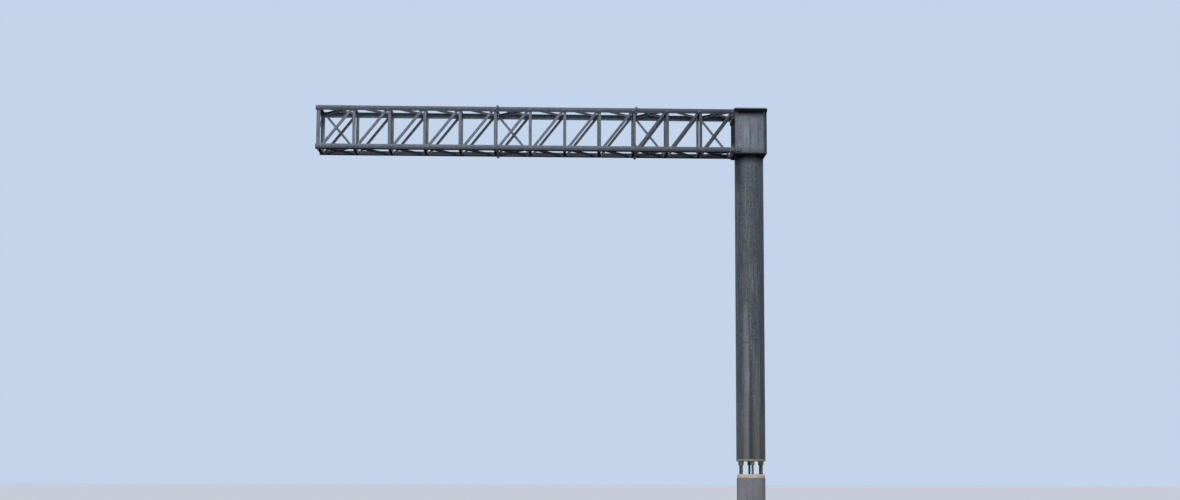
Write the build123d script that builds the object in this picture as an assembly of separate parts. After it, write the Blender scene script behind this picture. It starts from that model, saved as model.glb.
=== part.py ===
from build123d import *
import os

# Overhead sign gantry: one round steel column on a concrete plinth, a plated box head on
# top of it, and a cantilever box truss of angle bars that reaches out over the road.
# Millimetres, +Z up. The origin is on the column's axis at the underside of the plinth.
# The arm runs along -X. The front is the -Y side, where a sign would hang.

# Plinth, mortar pad and anchor rods
plinth_inset = 5
plinth_height = 865
pad_inset = 6
pad_thickness = 85
rod_count = 6
rod_diameter = 48
rod_embedment = 500
rod_exposure = 270
rod_projection = 16
rod_clearance = 0.2
nut_across_flats = 75
nut_height = 38
lock_nut_turn = 20
washer_width = 90
washer_thickness = 8
washer_to_column_wall = 7

# Base plate, a ring that the nuts above it are reached through, and column
base_plate_ledge = 4
base_plate_thickness = 40
base_plate_opening = 320
base_hole_clearance = 3
column_diameter = 610
column_wall = 12
column_height = 7426

# Box head
head_below_column_top = 966
head_room = 35
head_floor_thickness = 25
head_floor_clearance = 0.5
head_plate_thickness = 12
head_arm_plate_thickness = 16
head_channel_flange = 60
cap_thickness = 20
cap_skirt_height = 80
cap_skirt_thickness = 8
cap_clearance = 1

# Arm: chords of equal angle, in three lengths joined by bolted end plates
arm_above_head_floor = 28
arm_height = 920
chord_leg = 100
chord_thickness = 10
chord_fillet = 10
tip_panel = 743
tip_panels = 5
middle_panel = 735
middle_panels = 4
root_panel = 705
root_panels = 3
tip_overhang = 60
end_plate_thickness = 12
end_plate_inside = 20
end_plate_proud = 28
post_to_end_plate = 1

# Lattice bars of lighter angle, and the flat bar that stiffens the tip's end frame
post_leg = 60
post_thickness = 6
end_post_leg = 80
end_post_thickness = 8
brace_leg = 50
brace_thickness = 5
bar_clearance = 3
side_brace_foot = 60
side_brace_head = 37
cross_brace_head = 55
plan_brace_inset = 45
crossed_panel_numbers = (1, 6, 10, 12)
tip_brace_width = 60
tip_brace_thickness = 8

# Fixing of the arm to the head
root_plate_height = 210
root_plate_thickness = 20
root_plate_margin = 18
lap_plate_thickness = 10
lap_plate_height = 92
lap_plate_on_arm = 120
lap_plate_on_head = 125

# Widths, levels and places that follow from the sizes above
plinth_diameter = column_diameter - 2 * plinth_inset
pad_diameter = plinth_diameter - 2 * pad_inset
base_plate_diameter = column_diameter + 2 * base_plate_ledge
rod_circle_radius = column_diameter / 2 - column_wall - washer_to_column_wall - washer_width / 2
rod_bore = rod_diameter + 2 * rod_clearance
pad_top = plinth_height + pad_thickness
base_plate_bottom = pad_top + rod_exposure
column_bottom = base_plate_bottom + base_plate_thickness
column_top = column_bottom + column_height
head_floor_bottom = column_top - head_below_column_top
head_floor_top = head_floor_bottom + head_floor_thickness
head_top = column_top + cap_thickness
head_width = column_diameter + 2 * head_room
head_depth = head_width
arm_depth = head_depth
arm_bottom = head_floor_bottom + arm_above_head_floor
arm_top = arm_bottom + arm_height
arm_root = -head_width / 2 - root_plate_thickness
seat_y = arm_depth / 2 - chord_thickness
seat_low = arm_bottom + chord_thickness
seat_high = arm_top - chord_thickness


def block(x_low, x_high, y_low, y_high, z_low, z_high):
    """A straight-sided block between two corners."""
    solid = Box(x_high - x_low, y_high - y_low, z_high - z_low, align=(Align.MIN,) * 3)
    return Pos(x_low, y_low, z_low) * solid


def rod(diameter, z_low, z_high):
    """An upright round bar on the column's axis."""
    solid = Cylinder(diameter / 2, z_high - z_low, align=(Align.CENTER, Align.CENTER, Align.MIN))
    return Pos(0, 0, z_low) * solid


def fused(shapes):
    """Join shapes into one."""
    first, *others = shapes
    return first.fuse(*others) if others else first


def at_rods(shape):
    """Copies of a shape at each anchor rod of the circle, turned to face the column's axis."""
    places = PolarLocations(rod_circle_radius, rod_count, 180 / rod_count)
    return Compound(children=[place * shape for place in places])


def trimmed(shapes, room):
    """The solids of what is left of the shapes inside a block."""
    return fused(shapes).intersect(room).solids()


def save(shape, node):
    """Write one piece to its own file."""
    export_step(shape, f"parts/{node}.step")


# Places of the truss's nodes, from the tip to the root
def node_places():
    """X of each panel point, the last one at the root."""
    panels = [tip_panel] * tip_panels + [middle_panel] * middle_panels + [root_panel] * root_panels
    places = [arm_root]
    for panel in reversed(panels):
        places.insert(0, places[0] - panel)
    return places


nodes = node_places()
tip_joint = tip_panels
root_joint = tip_panels + middle_panels
end_plate_offset = post_leg / 2 + post_to_end_plate + end_plate_thickness
arm_lengths = {
    "tip": (0, tip_joint),
    "middle": (tip_joint, root_joint),
    "root": (root_joint, len(nodes) - 1),
}


def length_ends(first, last):
    """X where one length of the arm starts and stops: the tip, a bolted joint or the head."""
    start = nodes[first] + end_plate_offset if first else nodes[first] - tip_overhang
    stop = nodes[last] + end_plate_offset if last < len(nodes) - 1 else arm_root
    return start, stop


# Foundation
def plinth():
    """Round concrete pedestal with the rods cast in."""
    solid = rod(plinth_diameter, 0, plinth_height)
    return solid - at_rods(rod(rod_bore, plinth_height - rod_embedment, plinth_height))


def mortar_pad():
    """Pale mortar bed on the plinth."""
    return rod(pad_diameter, plinth_height, pad_top) - at_rods(rod(rod_bore, plinth_height, pad_top))


def anchor_rods():
    """Threaded rods in a circle, which carry the column clear of the mortar pad."""
    top = column_bottom + washer_thickness + nut_height + rod_projection
    return at_rods(rod(rod_diameter, plinth_height - rod_embedment, top))


def nut_stack(nut_count):
    """A square plate washer with hexagon nuts screwed down on it, each turned a little
    further than the one under it."""
    half, top = washer_width / 2, washer_thickness + nut_count * nut_height
    nut = extrude(RegularPolygon(nut_across_flats / 2, 6, major_radius=False), nut_height)
    pieces = [block(-half, half, -half, half, 0, washer_thickness)]
    for number in range(nut_count):
        level = washer_thickness + number * nut_height
        pieces.append(Pos(0, 0, level) * Rot(0, 0, number * lock_nut_turn) * nut)
    return fused(pieces) - rod(rod_bore, 0, top)


def levelling_nuts():
    """Under the base plate, a nut on each rod that sets the column plumb and one that locks it."""
    return at_rods(Pos(0, 0, base_plate_bottom) * mirror(nut_stack(2), Plane.XY))


def clamping_nuts():
    """Nuts on top of the base plate, inside the tube."""
    return at_rods(Pos(0, 0, column_bottom) * nut_stack(1))


# Column
def base_plate():
    """Ring plate under the tube with a hole for each rod. Its wide opening is the way in
    to the nuts on top."""
    hole = rod(rod_diameter + 2 * base_hole_clearance, base_plate_bottom, column_bottom)
    solid = rod(base_plate_diameter, base_plate_bottom, column_bottom) - at_rods(hole)
    return solid - rod(base_plate_opening, base_plate_bottom, column_bottom)


def column_tube():
    """Rolled tube from the base plate to the underside of the cap."""
    outer = rod(column_diameter, column_bottom, column_top)
    return outer - rod(column_diameter - 2 * column_wall, column_bottom, column_top)


# Box head round the top of the column
def head_floor():
    """Square ring plate that the head's walls stand on."""
    x, y = head_width / 2, head_depth / 2
    solid = block(-x, x, -y, y, head_floor_bottom, head_floor_top)
    return solid - rod(column_diameter + 2 * head_floor_clearance, head_floor_bottom, head_floor_top)


def head_channel(side, thickness):
    """Pressed channel that closes one end of the head, its flanges turned round both corners.
    side is -1 for the end that takes the arm."""
    x, y = head_width / 2, head_depth / 2
    edge = side * (x - head_channel_flange)
    x_low, x_high = sorted((edge, side * x))
    solid = block(x_low, x_high, -y, y, head_floor_top, column_top)
    x_low, x_high = sorted((edge, side * (x - thickness)))
    solid -= block(x_low, x_high, thickness - y, y - thickness, head_floor_top, column_top)
    uprights = solid.edges().filter_by(Axis.Z).sort_by(Axis.X)
    return fillet(uprights[-2:] if side > 0 else uprights[:2], thickness)


def head_side_plate(side):
    """Front or back wall, between the flanges of the two channels. side is -1 in front."""
    x, y = head_width / 2 - head_channel_flange, head_depth / 2
    inner, outer = sorted((side * (y - head_plate_thickness), side * y))
    return block(-x, x, inner, outer, head_floor_top, column_top)


def head_cap():
    """Lid with a skirt on the three sides that are clear of the arm."""
    inner_x = head_width / 2 + cap_clearance
    inner_y = head_depth / 2 + cap_clearance
    outer_x, outer_y = inner_x + cap_skirt_thickness, inner_y + cap_skirt_thickness
    solid = block(-head_width / 2, outer_x, -outer_y, outer_y, head_top - cap_skirt_height, head_top)
    return solid - block(-head_width / 2, inner_x, -inner_y, inner_y, head_top - cap_skirt_height, column_top)


# Arm chords
def angle_section():
    """Equal angle with its heel at the origin, rounded in the inner corner."""
    leg, thick = chord_leg, chord_thickness
    points = [(0, 0), (leg, 0), (leg, thick), (thick, thick), (thick, leg), (0, leg)]
    section = make_face(Polyline(*points, close=True))
    inner_corner = section.vertices().sort_by_distance((thick, thick))[0]
    return fillet(inner_corner, chord_fillet)


def chord(length, side, level):
    """One length of a corner chord with the end plates of its bolted joints. The heel is at
    the truss's outer corner. side is -1 for the front, level is 1 for the top."""
    first, last = arm_lengths[length]
    start, stop = length_ends(first, last)
    outward = side * level
    heel = (start if outward > 0 else stop, side * arm_depth / 2, arm_top if level > 0 else arm_bottom)
    plane = Plane(origin=heel, x_dir=(0, -side, 0), z_dir=(outward, 0, 0))
    solid = plane * extrude(angle_section(), stop - start)
    if first:
        solid = solid.fuse(end_plate(start, start + end_plate_thickness, side, level))
    if last < len(nodes) - 1:
        solid = solid.fuse(end_plate(stop - end_plate_thickness, stop, side, level))
    return solid


def end_plate(x_low, x_high, side, level):
    """Square plate welded across a chord's end, proud of the chord on its outer faces."""
    heel_y, heel_z = side * arm_depth / 2, arm_top if level > 0 else arm_bottom
    y_low, y_high = sorted((heel_y + side * end_plate_proud, heel_y - side * (chord_leg + end_plate_inside)))
    z_low, z_high = sorted((heel_z + level * end_plate_proud, heel_z - level * (chord_leg + end_plate_inside)))
    return block(x_low, x_high, y_low, y_high, z_low, z_high)


# Lattice
def bar(start, end, inward, leg, thickness, edge=1):
    """An angle bar laid flat between two points: its flat leg and its standing leg.
    edge is 1 or -1 for the edge of the flat leg that the other leg stands on."""
    run = Vector(*end) - Vector(*start)
    plane = Plane(origin=start, x_dir=run, z_dir=inward)
    low = (Align.MIN, Align.CENTER, Align.MIN)
    length = run.length + 2 * chord_leg
    flat = Pos(-chord_leg, 0, 0) * Box(length, leg, thickness, align=low)
    offset = edge * (leg - thickness) / 2
    stand = Pos(-chord_leg, offset, 0) * Box(length, thickness, leg, align=low)
    return plane * flat, plane * stand


def brace(start, end, inward):
    """A sloping bar."""
    return bar(start, end, inward, brace_leg, brace_thickness)


def post_places(first, last):
    """X, leg, thickness and end of each post of one length, none at the root. Heavier posts
    close the tip (end -1), their standing legs outermost; the others have end 0."""
    numbers = range(first + 1, min(last, len(nodes) - 2) + 1)
    places = [(nodes[number], post_leg, post_thickness, 0) for number in numbers]
    if not first:
        places.append((nodes[0], end_post_leg, end_post_thickness, -1))
    return places


def lattice_limits(first, last):
    """X between which the bars of one length are trimmed, clear of the end plates."""
    start, stop = length_ends(first, last)
    left_limit = start + (end_plate_thickness if first else 0) + bar_clearance
    right_limit = stop - (end_plate_thickness if last < len(nodes) - 1 else 0)
    return left_limit, right_limit


def side_lattice(length, side):
    """Posts and sloping braces of the front or back face of one length.
    The back face has a second brace in the crossed panels."""
    first, last = arm_lengths[length]
    y = side * seat_y
    inward = (0, -side, 0)
    low, high = arm_bottom + chord_leg / 2, arm_top - chord_leg / 2
    bars = []
    for x, leg, thickness, end in post_places(first, last):
        bars.append(bar((x, y, low), (x, y, high), inward, leg, thickness, -side * end or 1))
    for number in range(first, last):
        left, right = nodes[number], nodes[number + 1]
        bars.append(brace((left + side_brace_foot, y, low), (right - side_brace_head, y, high), inward))
        if side > 0 and number + 1 in crossed_panel_numbers:
            bars.append(brace((right, y, low), (left + cross_brace_head, y, high), inward))
    left_limit, right_limit = lattice_limits(first, last)
    y_low, y_high = sorted((y, y - side * end_post_leg))
    end_gap = chord_fillet + bar_clearance
    room = block(left_limit, right_limit, y_low, y_high, seat_low + end_gap, seat_high - end_gap)
    return fused(trimmed([piece for pair in bars for piece in pair], room))


def plan_lattice(length, level):
    """Struts and braces of the top or bottom face of one length.
    The standing legs stop short of those of the side faces."""
    first, last = arm_lengths[length]
    z = seat_high if level > 0 else seat_low
    inward = (0, 0, -level)
    front, back = -(arm_depth - chord_leg) / 2, (arm_depth - chord_leg) / 2
    bars = []
    for x, leg, thickness, end in post_places(first, last):
        bars.append(bar((x, front, z), (x, back, z), inward, leg, thickness, level * end or 1))
    for number in range(first, last):
        left, right = nodes[number] + plan_brace_inset, nodes[number + 1] - plan_brace_inset
        bars.append(brace((left, front, z), (right, back, z), inward))
        if number + 1 in crossed_panel_numbers:
            bars.append(brace((right, front, z), (left, back, z), inward))
    left_limit, right_limit = lattice_limits(first, last)
    flat_reach = seat_y - chord_fillet - bar_clearance
    stand_reach = seat_y - end_post_leg - bar_clearance
    z_low, z_high = sorted((z, z - level * end_post_leg))
    flat_room = block(left_limit, right_limit, -flat_reach, flat_reach, z_low, z_high)
    stand_room = block(left_limit, right_limit, -stand_reach, stand_reach, z_low, z_high)
    flats = trimmed([flat for flat, _ in bars], flat_room)
    stands = trimmed([stand for _, stand in bars], stand_room)
    return fused(flats + stands)


def tip_end_brace():
    """Flat bar across the tip's open end, on the inner faces of the end posts' standing legs."""
    x = nodes[0] - end_post_leg / 2 + end_post_thickness
    reach = seat_y - end_post_leg / 2
    low, high = arm_bottom + chord_leg, arm_top - chord_leg
    start, end = (x, -reach, low), (x, reach, high)
    run = Vector(*end) - Vector(*start)
    plane = Plane(origin=start, x_dir=run, z_dir=(1, 0, 0))
    flat = Box(run.length, tip_brace_width, tip_brace_thickness, align=(Align.MIN, Align.CENTER, Align.MIN))
    return plane * flat


# Fixing of the arm to the head
def root_plate(level):
    """Plate across the ends of the two top or bottom chords, bolted to the head."""
    half = arm_depth / 2
    if level > 0:
        low = arm_top + root_plate_margin - root_plate_height
    else:
        low = arm_bottom - root_plate_margin
    return block(arm_root, arm_root + root_plate_thickness, -half, half, low, low + root_plate_height)


def lap_plates():
    """Straps over the outside of both bottom chords and the head's front and back."""
    half = arm_depth / 2
    low = arm_bottom + (chord_leg - lap_plate_height) / 2
    start, stop = arm_root - lap_plate_on_arm, -head_width / 2 + lap_plate_on_head
    front = block(start, stop, -half - lap_plate_thickness, -half, low, low + lap_plate_height)
    back = block(start, stop, half, half + lap_plate_thickness, low, low + lap_plate_height)
    return Compound(children=[front, back])


os.makedirs("parts", exist_ok=True)

save(plinth(), "plinth")
save(mortar_pad(), "mortar_pad")
save(anchor_rods(), "anchor_rods")
save(levelling_nuts(), "levelling_nuts")
save(clamping_nuts(), "clamping_nuts")
save(base_plate(), "base_plate")
save(column_tube(), "column_tube")

save(head_floor(), "head_floor_plate")
save(head_channel(-1, head_arm_plate_thickness), "head_arm_channel")
save(head_side_plate(-1), "head_front_plate")
save(head_side_plate(1), "head_back_plate")
save(head_channel(1, head_plate_thickness), "head_outer_channel")
save(head_cap(), "head_cap")

save(root_plate(1), "root_top_plate")
save(root_plate(-1), "root_bottom_plate")
save(lap_plates(), "root_lap_plates")

for length in arm_lengths:
    for side, side_name in ((-1, "front"), (1, "back")):
        save(side_lattice(length, side), f"{length}_{side_name}_lattice")
        for level, level_name in ((1, "top"), (-1, "bottom")):
            save(chord(length, side, level), f"{length}_{side_name}_{level_name}_chord")
    for level, level_name in ((1, "top"), (-1, "bottom")):
        save(plan_lattice(length, level), f"{length}_{level_name}_lattice")
save(tip_end_brace(), "tip_end_brace")
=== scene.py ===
import math

import bmesh
import bpy
from mathutils import Matrix, Vector, noise


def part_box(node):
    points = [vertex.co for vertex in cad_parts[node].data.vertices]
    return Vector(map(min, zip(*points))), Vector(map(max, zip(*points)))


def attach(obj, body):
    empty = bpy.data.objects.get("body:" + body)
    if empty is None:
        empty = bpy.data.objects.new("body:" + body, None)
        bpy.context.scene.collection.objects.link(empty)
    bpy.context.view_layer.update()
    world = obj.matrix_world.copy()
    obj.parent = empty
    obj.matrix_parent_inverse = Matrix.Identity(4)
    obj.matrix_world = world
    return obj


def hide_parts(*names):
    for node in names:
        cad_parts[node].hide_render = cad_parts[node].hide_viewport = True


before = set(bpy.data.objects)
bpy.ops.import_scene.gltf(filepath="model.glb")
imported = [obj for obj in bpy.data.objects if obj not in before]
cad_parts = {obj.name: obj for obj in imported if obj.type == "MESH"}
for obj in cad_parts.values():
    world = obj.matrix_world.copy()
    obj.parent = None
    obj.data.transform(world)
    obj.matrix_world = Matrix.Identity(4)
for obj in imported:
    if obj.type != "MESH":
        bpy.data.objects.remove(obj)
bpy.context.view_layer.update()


# Plinth: a round concrete pedestal cast in a paper-tube form, with the column's anchor rods cast
# into it. It stands on the ground by its own weight and that of the footing under it.

def linear(hex_colour):
    """An sRGB hex colour as the linear red, green, blue and alpha that a node socket takes."""
    parts = [int(hex_colour[i:i + 2], 16) / 255 for i in (1, 3, 5)]
    return [part / 12.92 if part <= 0.04045 else ((part + 0.055) / 1.055) ** 2.4 for part in parts] + [1]


def add_node(tree, kind, inputs, **settings):
    """Add one node. An input takes a value, or the output socket that feeds it. Inputs go by name
    or number. A Mix has its factor at 0 and its colours at 6 and 7, and its colour comes out at 2.
    A Map Range has its value at 0, what it maps from at 1 and 2, and what it maps to at 3 and 4."""
    added = tree.nodes.new(kind)
    for name, value in settings.items():
        setattr(added, name, value)
    for key, value in inputs.items():
        if isinstance(value, bpy.types.NodeSocket):
            tree.links.new(value, added.inputs[key])
        else:
            added.inputs[key].default_value = value
    return added


def new_material(name):
    """A new material, its node tree, its shader and the object coordinates in metres."""
    material = bpy.data.materials.new(name)
    material.use_nodes = True
    tree = material.node_tree
    shader = tree.nodes["Principled BSDF"]
    place = add_node(tree, "ShaderNodeTexCoord", {})
    return material, tree, shader, place


def per_metre(size_mm):
    """Texture scale that makes one feature of a pattern this many millimetres across."""
    return 1000 / size_mm


def dress(material, *node_names):
    """Give CAD nodes a finish in their own material slots."""
    for node_name in node_names:
        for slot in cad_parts[node_name].material_slots:
            slot.material = material


# Cast concrete: cement grey, cloudy, streaked by run-off and dotted with pin holes, and darker
# where the ground's damp climbs it
concrete, tree, shader, place = new_material("form-cast concrete")
clouds = add_node(tree, "ShaderNodeTexNoise", {
    "Vector": place.outputs["Object"], "Scale": per_metre(160), "Detail": 6, "Roughness": 0.65})
body = add_node(tree, "ShaderNodeMix", {
    0: clouds.outputs["Fac"], 6: linear("#5F6065"), 7: linear("#7E7D80")}, data_type="RGBA")
run_off = add_node(tree, "ShaderNodeMapping", {
    "Vector": place.outputs["Object"], "Scale": (per_metre(45), per_metre(45), per_metre(600))})
streaks = add_node(tree, "ShaderNodeTexNoise", {"Vector": run_off.outputs[0], "Scale": 1, "Detail": 3})
streaks = add_node(tree, "ShaderNodeMapRange", {0: streaks.outputs["Fac"], 1: 0.52, 2: 0.72, 4: 0.55})
body = add_node(tree, "ShaderNodeMix", {
    0: streaks.outputs[0], 6: body.outputs[2], 7: linear("#4A4A4B")}, data_type="RGBA")
axes = add_node(tree, "ShaderNodeSeparateXYZ", {0: place.outputs["Object"]})
damp = add_node(tree, "ShaderNodeMath", {0: clouds.outputs["Fac"], 1: 0.35}, operation="MULTIPLY")
damp = add_node(tree, "ShaderNodeMath", {0: axes.outputs["Z"], 1: damp.outputs[0]}, operation="SUBTRACT")
damp = add_node(tree, "ShaderNodeMapRange", {0: damp.outputs[0], 1: 0.0, 2: 0.14, 3: 0.6, 4: 0.0})
body = add_node(tree, "ShaderNodeMix", {
    0: damp.outputs[0], 6: body.outputs[2], 7: linear("#3D3B36")}, data_type="RGBA")
pin_holes = add_node(tree, "ShaderNodeTexVoronoi", {
    "Vector": place.outputs["Object"], "Scale": per_metre(38), "Randomness": 1})
pits = add_node(tree, "ShaderNodeMapRange", {0: pin_holes.outputs["Distance"], 1: 0.06, 2: 0.16})
body = add_node(tree, "ShaderNodeMix", {
    0: pits.outputs[0], 6: linear("#38383A"), 7: body.outputs[2]}, data_type="RGBA")
grit = add_node(tree, "ShaderNodeTexNoise", {
    "Vector": place.outputs["Object"], "Scale": per_metre(7), "Detail": 3})
relief = add_node(tree, "ShaderNodeMath", {0: pits.outputs[0], 1: grit.outputs["Fac"]}, operation="ADD")
bump = add_node(tree, "ShaderNodeBump", {"Height": relief.outputs[0], "Strength": 0.45, "Distance": 0.002})
tree.links.new(body.outputs[2], shader.inputs["Base Color"])
tree.links.new(bump.outputs[0], shader.inputs["Normal"])
shader.inputs["Roughness"].default_value = 0.92
dress(concrete, "plinth")


# Mortar bed: pale mortar struck off with a trowel on top of the plinth round the rods. Its top
# edge has worn off all round and has crumbled away lower on the right of the front.
bed_low, bed_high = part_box("mortar_pad")
bed_radius = (bed_high[0] - bed_low[0]) / 2
bed_segments = 144
worn_edge = 0.014
# How far the top and the side have worn back, evenly and in lumps. The side's wear grows from
# nothing over the outer fifth of the radius.
rim_start, rim_gain = 0.8, 5
lump_mm = 70
top_wear, top_lumps = 0.001, 0.004
side_wear, side_lumps = 0.002, 0.006
# The crumbled stretch: which way it lies, how far round it reaches, and its loss on top and side
crumbled_side = Vector((0.62, -0.78))
crumbled_start, crumbled_gain = 0.62, 2.6
crumbled_top, crumbled_face = 0.016, 0.010
merge_distance = 1e-5


def smooth_faces(bm):
    """Shade the faces of a round piece as one surface."""
    for face in bm.faces:
        face.smooth = True


def mesh_from(bm, name):
    """Write a finished bmesh to a new mesh, and free it."""
    mesh = bpy.data.meshes.new(name)
    bm.to_mesh(mesh)
    bm.free()
    return mesh


def finish(bm, name, material, stands_for=()):
    """Turn a bmesh into a piece that belongs to the gantry's one fixed body."""
    bmesh.ops.remove_doubles(bm, verts=bm.verts, dist=merge_distance)
    bmesh.ops.recalc_face_normals(bm, faces=bm.faces)
    mesh = mesh_from(bm, name)
    mesh.materials.append(material)
    piece = bpy.data.objects.new(name, mesh)
    bpy.context.collection.objects.link(piece)
    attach(piece, "root")
    if stands_for:
        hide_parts(*stands_for)


bed = bmesh.new()
outline = [bed.verts.new((x, 0, z)) for x, z in (
    (0, bed_low[2]), (bed_radius, bed_low[2]), (bed_radius, bed_high[2] - worn_edge),
    (bed_radius - worn_edge, bed_high[2]), (0, bed_high[2]))]
under, side, edge, top = [bed.edges.new(pair) for pair in zip(outline, outline[1:])]
bmesh.ops.subdivide_edges(bed, edges=[under, top], cuts=14)
bmesh.ops.subdivide_edges(bed, edges=[side], cuts=6)
bmesh.ops.subdivide_edges(bed, edges=[edge], cuts=3)
bmesh.ops.spin(bed, geom=list(bed.verts) + list(bed.edges), axis=(0, 0, 1), cent=(0, 0, 0),
               angle=math.tau, steps=bed_segments, use_merge=True)
bmesh.ops.remove_doubles(bed, verts=bed.verts, dist=merge_distance)
for vert in bed.verts:
    away = math.hypot(vert.co.x, vert.co.y)
    lift = (vert.co.z - bed_low[2]) / (bed_high[2] - bed_low[2])
    # Noise in four octaves, each twice as fine and half as high as the last, from about 0 to 1
    lumps = noise.fractal(vert.co * per_metre(lump_mm), 1, 2, 4) * 0.5 + 0.5
    near_rim = max(0, away / bed_radius - rim_start) * rim_gain
    crumbled = max(0, vert.co.xy.dot(crumbled_side) / bed_radius - crumbled_start) * crumbled_gain
    vert.co.z -= lift * (top_wear + top_lumps * lumps + crumbled_top * crumbled * near_rim)
    if near_rim:
        loss = side_wear + side_lumps * lumps + crumbled_face * crumbled * lift ** 3
        shrink = 1 - loss * near_rim / bed_radius
        vert.co.x, vert.co.y = vert.co.x * shrink, vert.co.y * shrink
smooth_faces(bed)

# Trowelled mortar: cream, chalky and rough, cloudy with greyer and paler patches
mortar, tree, shader, place = new_material("trowelled cream mortar")
patches = add_node(tree, "ShaderNodeTexNoise", {
    "Vector": place.outputs["Object"], "Scale": per_metre(55), "Detail": 7, "Roughness": 0.7})
patches = add_node(tree, "ShaderNodeMapRange", {0: patches.outputs["Fac"], 1: 0.32, 2: 0.7})
body = add_node(tree, "ShaderNodeMix", {
    0: patches.outputs[0], 6: linear("#91887A"), 7: linear("#C0B7A5")}, data_type="RGBA")
sand = add_node(tree, "ShaderNodeTexNoise", {
    "Vector": place.outputs["Object"], "Scale": per_metre(4), "Detail": 2})
bump = add_node(tree, "ShaderNodeBump", {"Height": sand.outputs["Fac"], "Strength": 0.5, "Distance": 0.0015})
tree.links.new(body.outputs[2], shader.inputs["Base Color"])
tree.links.new(bump.outputs[0], shader.inputs["Normal"])
shader.inputs["Roughness"].default_value = 0.95
finish(bed, "trowelled_mortar_bed", mortar, ["mortar_pad"])


# Anchor rods: six M48 threaded rods in a circle, cast into the plinth, which carry the whole
# column clear of the mortar bed. They are galvanised, greasy and starting to rust.
rod_count = 6
first_rod_degrees = 30
rod_circle_radius = 0.241
rod_radius = 0.024
rod_chamfer = 0.003
thread_pitch, thread_depth = 0.005, 0.0027
steps_per_turn = 14
# The thread starts down in the mortar, its last turn is cut level just below the rod's top, and
# the core is a hair thicker than the thread's root so that the two never lie in one plane
thread_in_mortar = 0.02
thread_short_of_top, thread_cut_at = 0.004, 0.001
core_excess = 0.0001
core_segments = 28
rods_low, rods_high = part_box("anchor_rods")
rod_turns = [math.radians(first_rod_degrees + 360 / rod_count * number) for number in range(rod_count)]
at_rods = [Matrix.Rotation(turn, 4, "Z") @ Matrix.Translation((rod_circle_radius, 0, 0))
           for turn in rod_turns]

rod = bmesh.new()
root_radius = rod_radius - thread_depth
thread_low, thread_high = bed_high[2] - thread_in_mortar, rods_high[2] - thread_short_of_top
turns = int((thread_high - thread_low) / thread_pitch)
ridge = [rod.verts.new(point) for point in (
    (root_radius, 0, thread_low), (rod_radius, 0, thread_low + thread_pitch / 2),
    (root_radius, 0, thread_low + thread_pitch))]
flanks = [rod.edges.new(pair) for pair in zip(ridge, ridge[1:])]
bmesh.ops.spin(rod, geom=ridge + flanks, axis=(0, 0, 1), cent=(0, 0, 0),
               dvec=(0, 0, thread_pitch / steps_per_turn), angle=math.tau * turns,
               steps=turns * steps_per_turn)
bmesh.ops.remove_doubles(rod, verts=rod.verts, dist=merge_distance)
for vert in rod.verts:
    vert.co.z = min(vert.co.z, rods_high[2] - thread_cut_at)
bmesh.ops.holes_fill(rod, edges=[edge for edge in rod.edges if edge.is_boundary], sides=0)
core_middle = (rods_low[2] + rods_high[2]) / 2
core = bmesh.ops.create_cone(
    rod, cap_ends=True, segments=core_segments, radius1=root_radius + core_excess,
    radius2=root_radius + core_excess, depth=rods_high[2] - rods_low[2],
    matrix=Matrix.Translation((0, 0, core_middle)))
core_top = {vert for vert in core["verts"] if vert.co.z > core_middle}
top_rim = [edge for edge in rod.edges if core_top.issuperset(edge.verts)]
bmesh.ops.bevel(rod, geom=top_rim, offset=rod_chamfer, segments=2, profile=0.5, affect="EDGES",
                material=-1)
one_rod = mesh_from(rod, "one rod")


def stamped(template, places):
    """A bmesh that holds a copy of a small mesh at each place, given as 4x4 matrices."""
    bm = bmesh.new()
    for matrix in places:
        copy = template.copy()
        copy.transform(matrix)
        bm.from_mesh(copy)
        bpy.data.meshes.remove(copy)
    return bm


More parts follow.
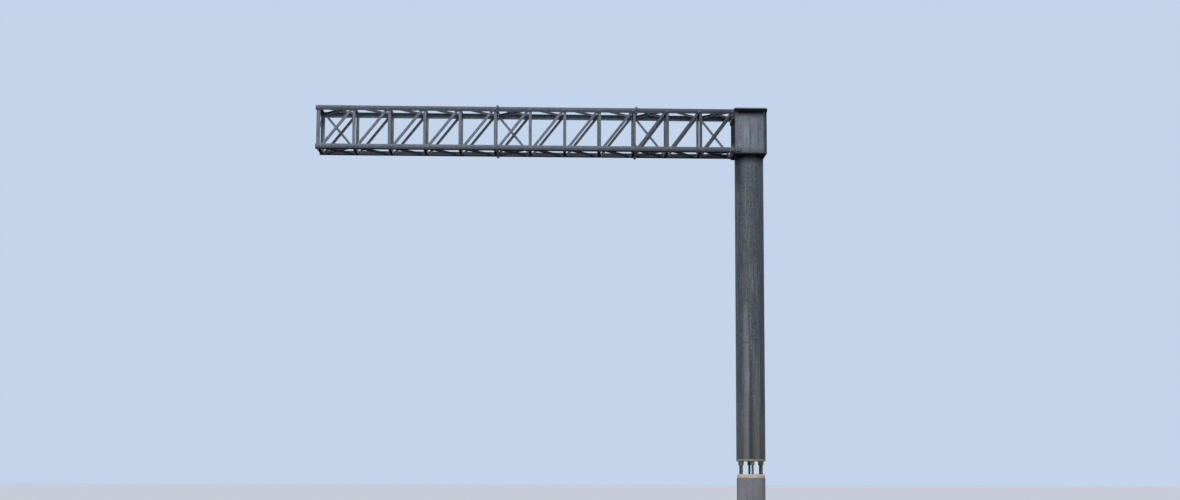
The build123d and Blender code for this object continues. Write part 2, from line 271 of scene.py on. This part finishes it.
def weathered_zinc(name, dull, bright, patch_mm=70, streak_mm=14, run_mm=420, streaks=0.45,
                   sheltered=0.55, rust=0.25, metallic=0.2, sparkle=1.0, bands=(), runs=()):
    """Hot-dip zinc left outdoors: a chalky grey skin in cloudy patches, faint crystals under it,
    thin green, purple and brown films, dark water streaks, and on the faces that look down a
    darkening that is partly grime and partly painted shade. The darkened faces and bands are matt
    and have no gloss. sheltered is how dark the faces that look down are made, rust how strong its
    specks are, and sparkle how clear the crystals and the pale streaks are.
    bands fade along one axis, as stains or painted shade: (axis, where full, where gone, colour, strength).
    runs are single wide stains or painted shade down the front: (x, half width, low z, high z, colour,
    strength)."""
    material, tree, shader, place = new_material(name)
    where = place.outputs["Object"]
    patches = add_node(tree, "ShaderNodeTexNoise", {
        "Vector": where, "Scale": per_metre(patch_mm), "Detail": 5, "Roughness": 0.6, "Distortion": 0.4})
    patch_mask = add_node(tree, "ShaderNodeMapRange", {0: patches.outputs["Fac"], 1: 0.34, 2: 0.66})
    crystals = add_node(tree, "ShaderNodeTexVoronoi", {"Vector": where, "Scale": per_metre(22)})
    crystal_tone = add_node(tree, "ShaderNodeSeparateColor", {0: crystals.outputs["Color"]})
    crystal_mask = add_node(tree, "ShaderNodeMath", {
        0: crystal_tone.outputs[0], 1: 0.22 * sparkle}, operation="MULTIPLY")

    # One tall, narrow pattern gives the dark and the pale streaks, and one broad pattern both films
    down = add_node(tree, "ShaderNodeMapping", {
        "Vector": where, "Scale": (per_metre(streak_mm), per_metre(streak_mm), per_metre(run_mm))})
    rain = add_node(tree, "ShaderNodeTexNoise", {"Vector": down.outputs[0], "Scale": 1, "Detail": 4})
    films = add_node(tree, "ShaderNodeTexNoise", {"Vector": where, "Scale": per_metre(130), "Detail": 2})
    green_mask = add_node(tree, "ShaderNodeMapRange", {0: films.outputs["Fac"], 1: 0.53, 2: 0.64, 4: 0.35})
    purple_mask = add_node(tree, "ShaderNodeMapRange", {0: films.outputs["Fac"], 1: 0.46, 2: 0.34, 4: 0.35})
    dark_mask = add_node(tree, "ShaderNodeMapRange", {0: rain.outputs["Fac"], 1: 0.5, 2: 0.72, 4: streaks})
    pale_mask = add_node(tree, "ShaderNodeMapRange", {
        0: rain.outputs["Fac"], 1: 0.44, 2: 0.26, 4: streaks * sparkle * 0.7})
    spots = add_node(tree, "ShaderNodeTexNoise", {
        "Vector": where, "Scale": per_metre(34), "Detail": 8, "Roughness": 0.7})
    rust_mask = add_node(tree, "ShaderNodeMapRange", {0: spots.outputs["Fac"], 1: 0.60, 2: 0.74, 4: rust})
    facing = add_node(tree, "ShaderNodeSeparateXYZ", {0: place.outputs["Normal"]})
    # Faces that look down are darkened: partly grime, partly painted shade
    underside_grime_and_shade_mask = add_node(tree, "ShaderNodeMapRange", {
        0: facing.outputs["Z"], 1: -0.3, 2: -0.9, 4: sheltered})
    layers = [
        (patch_mask, bright, "MIX"), (crystal_mask, "#8C949B", "MIX"), (pale_mask, "#A4AAB2", "MIX"),
        (dark_mask, "#262B31", "MIX"), (green_mask, "#5C7069", "COLOR"), (purple_mask, "#6B6372", "COLOR"),
        (rust_mask, "#5D4A3A", "MIX"), (underside_grime_and_shade_mask, "#101216", "MIX")]
    dirt_and_shade = underside_grime_and_shade_mask

    # Bands: the rain pattern makes their edges ragged
    axes = add_node(tree, "ShaderNodeSeparateXYZ", {0: where})
    for axis, full, gone, colour, strength in bands:
        fade = gone - full
        ragged = add_node(tree, "ShaderNodeMath", {
            0: rain.outputs["Fac"], 1: fade * 0.8, 2: axes.outputs[axis]}, operation="MULTIPLY_ADD")
        band_mask = add_node(tree, "ShaderNodeMapRange", {
            0: ragged.outputs[0], 1: full + fade * 0.4, 2: gone + fade * 0.4, 3: strength, 4: 0.0})
        layers.append((band_mask, colour, "MIX"))
        dirt_and_shade = add_node(tree, "ShaderNodeMath", {
            0: dirt_and_shade.outputs[0], 1: band_mask.outputs[0]}, operation="MAXIMUM")

    # Runs: the rain pattern makes them wander, and they fade at both ends and round the side
    on_front = add_node(tree, "ShaderNodeMapRange", {0: axes.outputs["Y"], 1: -0.02, 2: -0.08})
    for centre, half, low, high, colour, strength in runs:
        wander = add_node(tree, "ShaderNodeMath", {
            0: rain.outputs["Fac"], 1: half * 1.6, 2: -centre - half * 0.8}, operation="MULTIPLY_ADD")
        off = add_node(tree, "ShaderNodeMath", {
            0: axes.outputs["X"], 1: wander.outputs[0]}, operation="ADD")
        off = add_node(tree, "ShaderNodeMath", {0: off.outputs[0]}, operation="ABSOLUTE")
        run_mask = add_node(tree, "ShaderNodeMapRange", {
            0: off.outputs[0], 1: half * 0.5, 2: half * 1.3, 3: strength, 4: 0.0})
        fade = min(0.3, (high - low) / 3)
        below_top = add_node(tree, "ShaderNodeMapRange", {
            0: axes.outputs["Z"], 1: high - fade, 2: high, 3: 1.0, 4: 0.0})
        above_foot = add_node(tree, "ShaderNodeMapRange", {0: axes.outputs["Z"], 1: low, 2: low + fade})
        for limit in (below_top, above_foot, on_front):
            run_mask = add_node(tree, "ShaderNodeMath", {
                0: run_mask.outputs[0], 1: limit.outputs[0]}, operation="MULTIPLY")
        layers.append((run_mask, colour, "MIX"))

    laid = linear(dull)
    for mask, colour, blend in layers:
        mix = add_node(tree, "ShaderNodeMix", {0: mask.outputs[0], 6: laid, 7: linear(colour)},
                       data_type="RGBA", blend_type=blend)
        laid = mix.outputs[2]
    shine = add_node(tree, "ShaderNodeMapRange", {0: dirt_and_shade.outputs[0], 2: 0.9, 3: 0.5, 4: 0.0})
    clean_roughness = add_node(tree, "ShaderNodeMapRange", {
        0: patches.outputs["Fac"], 1: 0.3, 2: 0.7, 3: 0.5, 4: 0.72})
    bump = add_node(tree, "ShaderNodeBump", {
        "Height": spots.outputs["Fac"], "Strength": 0.25, "Distance": 0.001})
    roughness = add_node(tree, "ShaderNodeMath", {
        0: clean_roughness.outputs[0], 1: dirt_and_shade.outputs[0]}, operation="MAXIMUM")
    tree.links.new(laid, shader.inputs["Base Color"])
    tree.links.new(shine.outputs[0], shader.inputs["Specular IOR Level"])
    tree.links.new(roughness.outputs[0], shader.inputs["Roughness"])
    tree.links.new(bump.outputs[0], shader.inputs["Normal"])
    shader.inputs["Metallic"].default_value = metallic
    return material


# Anchor zinc: olive-grey from old grease, with rust coming through it in specks
anchor_zinc = weathered_zinc("greased galvanised rod steel", "#575339", "#777255", patch_mm=16, rust=0.6)
finish(stamped(one_rod, at_rods), "threaded_rods", anchor_zinc, ["anchor_rods"])


# Nuts: under the base plate each rod has a square plate washer, a heavy hexagon nut that sets
# the column plumb and a second one that locks it, and on top such a washer and one clamping nut.
# The nuts are forged, their corners turned off at both ends.
nut_across_flats, nut_height, nut_chamfer = 0.075, 0.038, 0.003
lock_nut_turn = math.radians(20)
plate_washer, plate_washer_thickness = 0.09, 0.008
washer_bevel = 0.001
plate_low, plate_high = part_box("base_plate")


def hexagon(bm, across_flats, low, high, chamfer):
    """A forged hexagon, a nut or a bolt's head. A chamfer turns its corners off at both ends."""
    radius = across_flats / math.sqrt(3)
    made = bmesh.ops.create_cone(
        bm, cap_ends=True, segments=6, radius1=radius, radius2=radius, depth=high - low,
        matrix=Matrix.Translation((0, 0, (low + high) / 2)))
    if not chamfer:
        return
    # A cut starts this far from the middle, and leans 30 degrees from the end's face
    cut_start = radius - chamfer * 2
    cut_out, cut_up = 0.5, 0.87
    own = set(made["verts"])
    first = made["verts"][0].co
    first_turn = math.atan2(first.y, first.x)
    for number in range(6):
        turn = first_turn + number * math.pi / 3
        outward = Vector((math.cos(turn), math.sin(turn), 0))
        for level, up in ((high, 1), (low, -1)):
            edges = [edge for edge in bm.edges if own.issuperset(edge.verts)]
            faces = [face for face in bm.faces if own.issuperset(face.verts)]
            cut = bmesh.ops.bisect_plane(
                bm, geom=[vert for vert in bm.verts if vert in own] + edges + faces,
                plane_co=outward * cut_start + Vector((0, 0, level)),
                plane_no=outward * cut_out + Vector((0, 0, up * cut_up)), clear_outer=True)
            rim = [part for part in cut["geom_cut"] if isinstance(part, bmesh.types.BMEdge)]
            own.update(vert for edge in rim for vert in edge.verts)
            own = {vert for vert in own if vert.is_valid}
            bmesh.ops.contextual_create(bm, geom=rim)


def washer(bm, radius, low, high, segments=12):
    """A plain round washer, or the round end of a bolt."""
    bmesh.ops.create_cone(
        bm, cap_ends=True, segments=segments, radius1=radius, radius2=radius, depth=high - low,
        matrix=Matrix.Translation((0, 0, (low + high) / 2)))


def nut_stack(name, nut_count):
    """A square plate washer with nuts screwed down on it, from z 0 upwards."""
    stack = bmesh.new()
    for number in range(nut_count):
        nut = bmesh.new()
        hexagon(nut, nut_across_flats, 0, nut_height, nut_chamfer)
        mesh = mesh_from(nut, "nut")
        turn = math.pi / 6 + number * lock_nut_turn
        mesh.transform(Matrix.Translation((0, 0, plate_washer_thickness + number * nut_height))
                       @ Matrix.Rotation(turn, 4, "Z"))
        stack.from_mesh(mesh)
        bpy.data.meshes.remove(mesh)
    plate = bmesh.ops.create_cube(
        stack, size=1, matrix=Matrix.Translation((0, 0, plate_washer_thickness / 2))
        @ Matrix.Diagonal((plate_washer, plate_washer, plate_washer_thickness, 1)))
    rims = {edge for vert in plate["verts"] for edge in vert.link_edges}
    bmesh.ops.bevel(stack, geom=list(rims), offset=washer_bevel, segments=1, profile=0.5,
                    affect="EDGES", material=-1)
    return mesh_from(stack, name)


above = [at_rod @ Matrix.Translation((0, 0, plate_high[2])) for at_rod in at_rods]
below = [at_rod @ Matrix.Translation((0, 0, plate_low[2])) @ Matrix.Rotation(math.pi, 4, "X")
         for at_rod in at_rods]
finish(stamped(nut_stack("clamping nut", 1), above), "clamping_nut_set", anchor_zinc,
       ["clamping_nuts"])
finish(stamped(nut_stack("levelling nuts", 2), below), "levelling_nut_set", anchor_zinc,
       ["levelling_nuts"])


# Base plate: a thick ring plate, drilled for the rods and galvanised with the column. The
# column's tube is welded to it all round, and the weld covers the narrow ledge outside it.
column_radius = 0.305
weld_inner_radius = column_radius - 0.001
foot_weld_leg = 0.0045
weld_segments = 120
weld_ripple_mm = 9


def weld_ring(bm, radius, level, leg, up):
    """A fillet weld round a tube, slightly humped, with ripples on all but its inner edge. up is
    1 for a weld that stands on a plate and -1 for one that hangs under it."""
    crown, inner_edge, ripple_depth = leg * 0.62, leg * 0.3, leg * 0.06
    outline = [(radius, level), (radius + leg, level), (radius + crown, level + up * crown),
               (radius, level + up * leg)]
    verts = [bm.verts.new((x, 0, z)) for x, z in outline]
    edges = [bm.edges.new(pair) for pair in zip(verts, verts[1:] + verts[:1])]
    bmesh.ops.spin(bm, geom=verts + edges, axis=(0, 0, 1), cent=(0, 0, 0), angle=math.tau,
                   steps=weld_segments, use_merge=True)
    for vert in bm.verts:
        away = math.hypot(vert.co.x, vert.co.y)
        if away > radius + inner_edge:
            ripple = 1 - ripple_depth / away * (1 + noise.noise(vert.co * per_metre(weld_ripple_mm)))
            vert.co.x, vert.co.y = vert.co.x * ripple, vert.co.y * ripple
    smooth_faces(bm)


foot_weld = bmesh.new()
weld_ring(foot_weld, weld_inner_radius, plate_high[2], foot_weld_leg, up=1)
# Weld metal: the zinc took darker, and in smaller patches, over the bead than over the plate
weld_zinc = weathered_zinc(
    "galvanised weld bead", "#2E3134", "#4A4D50", patch_mm=12, streaks=0.3, rust=0.45)
finish(foot_weld, "column_foot_weld", weld_zinc)
# Base plate zinc: a warm beige-brown film of what water washed off the road and the rods
base_zinc = weathered_zinc("stained galvanised base plate", "#6E624B", "#8E8166", patch_mm=45, rust=0.5)
dress(base_zinc, "base_plate")


# Column: a 610 mm tube of 12 mm plate, rolled in three cans that are butt-welded end to end, and
# then galvanised. It carries the head and the arm.
girth_weld_levels = (3.71, 6.16)
girth_weld_proud = 0.0016
crown_width, foot_width = 0.008, 0.022
girth_welds = bmesh.new()
for level in girth_weld_levels:
    for radius, width in ((column_radius + girth_weld_proud, crown_width),
                          (weld_inner_radius, foot_width)):
        bmesh.ops.create_cone(
            girth_welds, cap_ends=False, segments=weld_segments, radius1=radius, radius2=radius,
            depth=width, matrix=Matrix.Translation((0, 0, level)))
    rims = [edge for edge in girth_welds.edges if edge.is_boundary]
    for up in (1, -1):
        facing_rims = [edge for edge in rims if (edge.verts[0].co.z - level) * up > 0]
        bmesh.ops.bridge_loops(girth_welds, edges=facing_rims)
smooth_faces(girth_welds)
finish(girth_welds, "column_girth_welds", weld_zinc)

# Column zinc: blue-grey and darkened by traffic film, long rain streaks down its whole height,
# painted shade under the head, green-brown dirt climbing from the foot, single pale and dark
# runs, and painted shade down the column's two sides and at its top left under the head
painted_shade_under_head = ("Z", 7.67, 7.49, "#0B0D10", 0.95)
dirt_over_foot = ("Z", 1.35, 2.6, "#504D44", 0.5)
middle_runs = [(-0.125, 0.055, 1.0, 4.6, "#85868C", 0.30), (-0.035, 0.035, 1.0, 3.6, "#1F211A", 0.6),
               (0.10, 0.055, 1.0, 3.6, "#7D8882", 0.22)]
# Painted shade: dark runs down the right and left sides of the column, and a brown-black one at its top left
# under the head
painted_side_shade_runs = [(0.26, 0.10, 1.9, 6.9, "#171E26", 0.4), (-0.24, 0.07, 2.4, 6.9, "#1E2026", 0.25),
             (-0.26, 0.07, 6.9, 7.75, "#191715", 0.6)]
column_zinc = weathered_zinc(
    "rolled tube zinc with traffic film", "#2E3237", "#3E4247", patch_mm=110, streak_mm=17,
    run_mm=900, streaks=0.5, rust=0.15, metallic=0.25, bands=[painted_shade_under_head, dirt_over_foot],
    runs=middle_runs + painted_side_shade_runs)
dress(column_zinc, "column_tube")


# Head: a box of plates round the top of the column, standing on a square ring plate that is
# welded to the tube. A thick channel closes the arm's end and a thinner one the far end, and
# weld beads run up the seams and along the foot of the walls.
head_half = 0.34
seam_x = 0.28
bead_half, bead_proud = 0.005, 0.0015
bead_gap = 0.001
floor_weld_leg = 0.012
floor_low, floor_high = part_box("head_floor_plate")
cap_low, cap_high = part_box("head_cap")


def weld_run(bm, start, end, out):
    """A straight weld bead laid on a face. out is the way that the face looks."""
    start, end, out = Vector(start), Vector(end), Vector(out)
    along = (end - start).normalized()
    across = out.cross(along)
    outline = [start - across * bead_half, start - across * bead_half * 0.5 + out * bead_proud,
               start + across * bead_half * 0.5 + out * bead_proud, start + across * bead_half]
    face = bm.faces.new([bm.verts.new(point) for point in outline])
    run = bmesh.ops.extrude_face_region(bm, geom=[face])
    moved = [part for part in run["geom"] if isinstance(part, bmesh.types.BMVert)]
    bmesh.ops.translate(bm, verts=moved, vec=end - start)


head_welds = bmesh.new()
foot, top = floor_high[2], cap_low[2]
for side in (-1, 1):
    wall = side * head_half
    for x in (-seam_x, seam_x):
        weld_run(head_welds, (x, wall, foot), (x, wall, top), (0, side, 0))
    weld_run(head_welds, (-head_half, wall, foot), (head_half, wall, foot), (0, side, 0))
far_end = head_half - bead_gap
weld_run(head_welds, (head_half, -far_end, foot), (head_half, far_end, foot), (1, 0, 0))
finish(head_welds, "head_weld_runs", weld_zinc)

# The floor plate under the head and its weld: painted black, as the shade under the head
shade_black_floor_zinc = weathered_zinc(
    "zinc floor plate painted black as shade", "#0B0D10", "#15181C", sheltered=0.9, sparkle=0.1, rust=0.1)
dress(shade_black_floor_zinc, "head_floor_plate")
floor_weld = bmesh.new()
weld_ring(floor_weld, weld_inner_radius, floor_low[2], floor_weld_leg, up=-1)
finish(floor_weld, "head_floor_weld", shade_black_floor_zinc)

# Head zinc: cleaner blue-grey plate with clear crystals and rain streaks, painted black as shade
# close under the lid, and dirty along its foot and its far edge
painted_shade_under_lid = [("Z", 8.63, 8.42, "#0E1216", 0.55), ("Z", 8.60, 8.50, "#090B0E", 0.97)]
dirty_edges = [("Z", 7.745, 7.86, "#2C3038", 0.5), ("X", 0.276, 0.255, "#1A1F28", 0.75)]
plate_runs = [(-0.016, 0.022, 7.86, 8.38, "#2B2F38", 0.6), (-0.12, 0.03, 7.8, 8.6, "#969CA4", 0.2),
              (0.20, 0.07, 7.70, 8.7, "#343A42", 0.35)]
head_zinc = weathered_zinc(
    "streaked zinc plate", "#52585F", "#6C737B", patch_mm=90, streak_mm=20, run_mm=600, streaks=0.5,
    rust=0.12, bands=painted_shade_under_lid + dirty_edges, runs=plate_runs)
dress(head_zinc, "head_front_plate", "head_back_plate")
# The arm's channel: the same zinc, a little darker, painted black as shade under the lid, and its
# web, which faces the arm, painted dark as shade
arm_channel_zinc = weathered_zinc(
    "channel zinc beside the arm", "#4C525A", "#656B74", patch_mm=70, streak_mm=16, run_mm=500,
    rust=0.15, bands=[("Z", 8.63, 8.46, "#0E1216", 0.92), ("X", -0.3385, -0.330, "#1A1F27", 0.85)])
dress(arm_channel_zinc, "head_arm_channel")
# The far channel: a dark zinc, painted black as shade under the lid
dark_zinc = weathered_zinc(
    "dull dark zinc channel", "#151A22", "#232932", patch_mm=70, streak_mm=16, run_mm=500,
    streaks=0.35, sparkle=0.2, bands=[("Z", 8.63, 8.46, "#0B0E12", 0.92)])
dress(dark_zinc, "head_outer_channel")


# Cap: a folded lid with a skirt on three sides, held by screws through the skirt, four in front
# and four behind, so that it comes off when the tube has to be looked into.
lid_thickness = 0.02
screw_washer_thickness = 0.0015
screw_spots = (-0.27, -0.09, 0.09, 0.27)
# Lid zinc: its top and edge are painted pale as a lit edge that catches the light, and its skirt is
# painted black as the shade under the lid's edge
painted_shade_on_skirt = ("Z", cap_high[2] - 0.022, cap_high[2] - 0.016, "#151A20", 1.0)
cap_zinc = weathered_zinc(
    "lid zinc with black skirt", "#6D747C", "#858B93", patch_mm=90, rust=0.15, bands=[painted_shade_on_skirt])
dress(cap_zinc, "head_cap")

screw = bmesh.new()
hexagon(screw, across_flats=0.019, low=screw_washer_thickness, high=0.0075, chamfer=0.001)
washer(screw, radius=0.012, low=0, high=screw_washer_thickness)
lid_screw = mesh_from(screw, "lid screw")
skirt_level = (cap_low[2] + cap_high[2] - lid_thickness) / 2
out_front = Matrix.Rotation(math.pi / 2, 4, "X")
out_back = Matrix.Rotation(-math.pi / 2, 4, "X")
screw_places = [Matrix.Translation((x, side * abs(cap_low[1]), skirt_level)) @ turn
                for side, turn in ((-1, out_front), (1, out_back)) for x in screw_spots]
finish(stamped(lid_screw, screw_places), "lid_screws", cap_zinc)


# Root of the arm: a steel plate across the ends of the two top chords and one across the two
# bottom chords, both bolted through the head's channel, and on each side a strap that laps over
# the bottom chord and the head. All of it is galvanised.
root_x = -0.36
root_plate_levels = (8.518, 7.898)
root_plate_bolt_spots = (-0.235, -0.078, 0.078, 0.235)
strap_face = 0.35
strap_level = 7.794
# Bolts of one strap: their place along the arm, and how far above the strap's middle they are
strap_bolt_spots = (
    (-0.445, 0.022), (-0.445, -0.022), (-0.39, 0), (-0.31, 0.022), (-0.31, -0.022), (-0.25, 0))


def bolt(across_flats, head_height, washer_radius, grip=0, nut_height=0, tail=0):
    """One bolt: its head above the origin, and below the grip its nut and tail, if they show."""
    bm = bmesh.new()
    washer_thickness = 0.003
    hexagon(bm, across_flats, washer_thickness, washer_thickness + head_height,
            chamfer=across_flats * 0.04)
    washer(bm, washer_radius, 0, washer_thickness)
    if nut_height:
        nut_top = -grip - washer_thickness
        nut_foot = nut_top - nut_height
        washer(bm, washer_radius, nut_top, -grip)
        hexagon(bm, across_flats, nut_foot, nut_top, chamfer=0)
        washer(bm, across_flats / 3, nut_foot - tail, nut_foot, segments=8)
    return mesh_from(bm, "bolt")


# Bolt zinc: paler and newer than the steel that it holds, in small patches with rust specks
bolt_zinc = weathered_zinc(
    "galvanised bolt steel", "#585D63", "#83888E", patch_mm=14, streaks=0.3, rust=0.5)
out_to_tip = Matrix.Rotation(-math.pi / 2, 4, "Y")
plate_bolt = bolt(across_flats=0.036, head_height=0.015, washer_radius=0.022)
plate_places = [Matrix.Translation((root_x, y, z)) @ out_to_tip
                for z in root_plate_levels for y in root_plate_bolt_spots]
strap_bolt = bolt(across_flats=0.024, head_height=0.007, washer_radius=0.015)
strap_places = [Matrix.Translation((x, side * strap_face, strap_level + above_middle)) @ turn
                for side, turn in ((-1, out_front), (1, out_back))
                for x, above_middle in strap_bolt_spots]
finish(stamped(plate_bolt, plate_places), "root_plate_bolts", bolt_zinc)
finish(stamped(strap_bolt, strap_places), "root_strap_bolts", bolt_zinc)

# Root plates: dark, in the head's shade, with dirt held in the gap
root_zinc = weathered_zinc(
    "shaded zinc root plate", "#15181C", "#262A30", patch_mm=50, sheltered=0.9, sparkle=0.1, rust=0.2)
dress(root_zinc, "root_top_plate", "root_bottom_plate")


# Chords: four lines of galvanised 100 mm steel angle, one at each corner of the arm, each in three
# lengths. At a joint both lengths end in a square plate, and the two plates are bolted together.
arm_bottom, arm_top, arm_half = 7.748, 8.668, 0.34
joints = (-5.372, -2.432)
end_plate = 0.012
joint_bolt = bolt(across_flats=0.024, head_height=0.010, washer_radius=0.0125, grip=2 * end_plate,
                  nut_height=0.013, tail=0.007)
# How far each bolt is in from the chord's heel, in y and z. Four stand in the plates' rim outside
# the chord's legs, and one in the corner inside them.
joint_holes = [(0.026, -0.0135), (0.092, -0.0135), (-0.0135, 0.026), (-0.0135, 0.092), (0.092, 0.092)]
joint_places = []
for joint in joints:
    for side in (-1, 1):
        for up, heel_z in ((1, arm_top), (-1, arm_bottom)):
            for in_y, in_z in joint_holes:
                y, z = side * (arm_half - in_y), heel_z - up * in_z
                joint_places.append(Matrix.Translation((joint - end_plate, y, z)) @ out_to_tip)
finish(stamped(joint_bolt, joint_places), "chord_joint_bolts", bolt_zinc)

# Front chords: mid blue-grey and duller towards the head. The top one is paler along its upper
# edge and darker below it, and the bottom one is painted darker towards its lower edge as shade.
# The straps at the root are finished as the bottom chord.
chord_wear = {"patch_mm": 80, "streak_mm": 22, "run_mm": 160, "rust": 0.3}
top_chord_zinc = weathered_zinc(
    "washed zinc top angle", "#525963", "#6E747F", sheltered=0.9, **chord_wear,
    bands=[("Z", 8.605, 8.665, "#1E222A", 0.65), ("X", root_x, -3.4, "#1C1F26", 0.5)])
# Its first band is painted shade along the chord's lower edge
bottom_chord_zinc = weathered_zinc(
    "washed zinc bottom angle", "#525963", "#6E747F", sheltered=0.9, **chord_wear,
    bands=[("Z", 7.755, 7.835, "#14171D", 0.72), ("X", root_x, -3.4, "#1C1F26", 0.35)])
# Back chords: the top one a mid grey painted paler against its own leg's shade, that darkens
# towards the head, and the bottom one painted black as shade
back_top_paler_zinc = weathered_zinc(
    "zinc top angle painted paler against shade", "#59606C", "#757C88", sheltered=0.5, **chord_wear,
    bands=[("X", root_x, -3.0, "#14171D", 0.6)])
back_bottom_shade_zinc = weathered_zinc(
    "zinc bottom angle painted black as shade", "#23272E", "#343841", sheltered=0.9, sparkle=0.3, **chord_wear,
    bands=[("X", root_x, -2.6, "#101216", 0.6)])
for length in ("tip", "middle", "root"):
    dress(top_chord_zinc, f"{length}_front_top_chord")
    dress(bottom_chord_zinc, f"{length}_front_bottom_chord")
    dress(back_top_paler_zinc, f"{length}_back_top_chord")
    dress(back_bottom_shade_zinc, f"{length}_back_bottom_chord")
dress(bottom_chord_zinc, "root_lap_plates")


# Lattice: posts, struts and sloping bars of lighter galvanised steel angle, each laid flat on the
# inside of the chords' legs and held by a bolt at each end, its head outside.
# Panels from the tip to the root, the places of the posts between them, and the numbers, from
# the tip, of the panels in which two bars cross behind, above and below
panels = [0.743] * 5 + [0.735] * 4 + [0.705] * 3
stations = [root_x - sum(panels[number:]) for number in range(len(panels) + 1)]
crossed = (1, 6, 10, 12)
hole_from_heel = 0.055
# How far from the post or strut a sloping bar's bolt is: at the foot and head of a side bar, at
# the head of the second bar in a crossed panel, and at either end of a level bar
foot_shift, head_shift, cross_shift, level_shift = 0.064, 0.041, 0.059, 0.049
bar_bolt = bolt(across_flats=0.024, head_height=0.010, washer_radius=0.015, grip=0.016,
                nut_height=0.013, tail=0.006)
out_up, out_down = Matrix.Identity(4), Matrix.Rotation(math.pi, 4, "X")
bar_places = []
for side, turn in ((-1, out_front), (1, out_back)):
    feet = stations[:-1] + [x + foot_shift for x in stations[:-1]]
    heads = stations[:-1] + [x - head_shift for x in stations[1:]]
    if side > 0:
        heads += [stations[number - 1] + cross_shift for number in crossed]
    for z, spots in ((arm_bottom + hole_from_heel, feet), (arm_top - hole_from_heel, heads)):
        bar_places += [Matrix.Translation((x, side * arm_half, z)) @ turn for x in spots]
in_front = stations[:-1] + [x + level_shift for x in stations[:-1]]
in_front += [stations[number] - level_shift for number in crossed]
behind = stations[:-1] + [x - level_shift for x in stations[1:]]
behind += [stations[number - 1] + level_shift for number in crossed]
for z, turn in ((arm_top, out_up), (arm_bottom, out_down)):
    for y, spots in ((-arm_half + hole_from_heel, in_front), (arm_half - hole_from_heel, behind)):
        bar_places += [Matrix.Translation((x, y, z)) @ turn for x in spots]
finish(stamped(bar_bolt, bar_places), "lattice_bolts", bolt_zinc)

# Bar zinc: as the chords, in smaller patches. The front bars darken towards the head, the back
# ones are painted pale against their shade, the top ones are painted darker as shade, and the
# bottom ones painted dark as shade.
bar_wear = {"patch_mm": 60, "streak_mm": 16, "run_mm": 300, "rust": 0.3}
front_bar_zinc = weathered_zinc(
    "washed zinc bar", "#4A5059", "#646A74", sheltered=0.8, **bar_wear,
    bands=[("X", root_x, -4.2, "#1C1F26", 0.62)])
back_bar_paler_zinc = weathered_zinc("zinc bar painted paler against shade", "#6A707C", "#888E9A", sheltered=0.2, **bar_wear)
top_bar_zinc = weathered_zinc("shaded zinc top bar", "#3C424C", "#555B66", sheltered=0.8, **bar_wear)
bottom_bar_shade_zinc = weathered_zinc(
    "zinc bottom bar painted dark as shade", "#1B1F25", "#2A2E35", sheltered=0.9, sparkle=0.3, **bar_wear)
for length in ("tip", "middle", "root"):
    dress(front_bar_zinc, f"{length}_front_lattice")
    dress(back_bar_paler_zinc, f"{length}_back_lattice")
    dress(top_bar_zinc, f"{length}_top_lattice")
    dress(bottom_bar_shade_zinc, f"{length}_bottom_lattice")
dress(front_bar_zinc, "tip_end_brace")


# Stage: a plain pale floor under an even pale sky, and one soft lamp high on the left in front.
# The floor looks paler than the grey light that it throws up, which is that of a road.
floor_half = 300


def shown_colour(tree, bounced, seen):
    """Two colours for one surface: that of the light that it throws on the object, and that in
    which it is seen, by the camera, in gloss or through glass."""
    rays = add_node(tree, "ShaderNodeLightPath", {})
    direct = add_node(tree, "ShaderNodeMath", {
        0: rays.outputs["Is Camera Ray"], 1: rays.outputs["Is Glossy Ray"]}, operation="ADD")
    direct = add_node(tree, "ShaderNodeMath", {
        0: direct.outputs[0], 1: rays.outputs["Is Transmission Ray"]}, operation="ADD", use_clamp=True)
    shown = add_node(tree, "ShaderNodeMix", {
        0: direct.outputs[0], 6: linear(bounced), 7: linear(seen)}, data_type="RGBA")
    return shown.outputs[2]


ground = bmesh.new()
bmesh.ops.create_grid(ground, x_segments=1, y_segments=1, size=floor_half)
floor_mesh = mesh_from(ground, "floor")
floor = bpy.data.objects.new("floor", floor_mesh)
bpy.context.collection.objects.link(floor)
floor_paint, tree, shader, place = new_material("pale matt floor")
tree.links.new(shown_colour(tree, "#8E8E90", "#B9BBBF"), shader.inputs["Base Color"])
shader.inputs["Roughness"].default_value = 1.0
floor_mesh.materials.append(floor_paint)

sky = bpy.data.worlds.new("pale overcast sky")
bpy.context.scene.world = sky
sky.use_nodes = True
background = sky.node_tree.nodes["Background"]
sky.node_tree.links.new(shown_colour(sky.node_tree, "#DDE2EB", "#C3D4EB"), background.inputs["Color"])
background.inputs["Strength"].default_value = 1.0

towards_lamp = Vector((-0.30, -0.70, 0.65))
lamp_data = bpy.data.lights.new("soft lamp", "SUN")
lamp_data.energy = 2.1
lamp_data.angle = math.radians(35)
lamp = bpy.data.objects.new("soft lamp", lamp_data)
bpy.context.collection.objects.link(lamp)
lamp.rotation_euler = towards_lamp.to_track_quat("Z", "Y").to_euler()
bpy.context.scene.view_settings.view_transform = "Standard"

# Camera: it stands on the ground in front and looks up slightly, as the photograph does
photo_width_px, focal_length_px = 1180, 1450
sensor_mm = 36
camera_place = (-4.325, -30.452, 0.795)
heading, tilt, lean = (math.radians(angle) for angle in (1.756, 4.923, 0.149))
camera_data = bpy.data.cameras.new("camera")
camera_data.sensor_width = sensor_mm
camera_data.lens = sensor_mm * focal_length_px / photo_width_px
camera_data.shift_y = 0.09
camera = bpy.data.objects.new("camera", camera_data)
bpy.context.collection.objects.link(camera)
camera.matrix_world = (
    Matrix.Translation(camera_place) @ Matrix.Rotation(-heading, 4, "Z")
    @ Matrix.Rotation(math.pi / 2 + tilt, 4, "X") @ Matrix.Rotation(lean, 4, "Z"))
bpy.context.scene.camera = camera
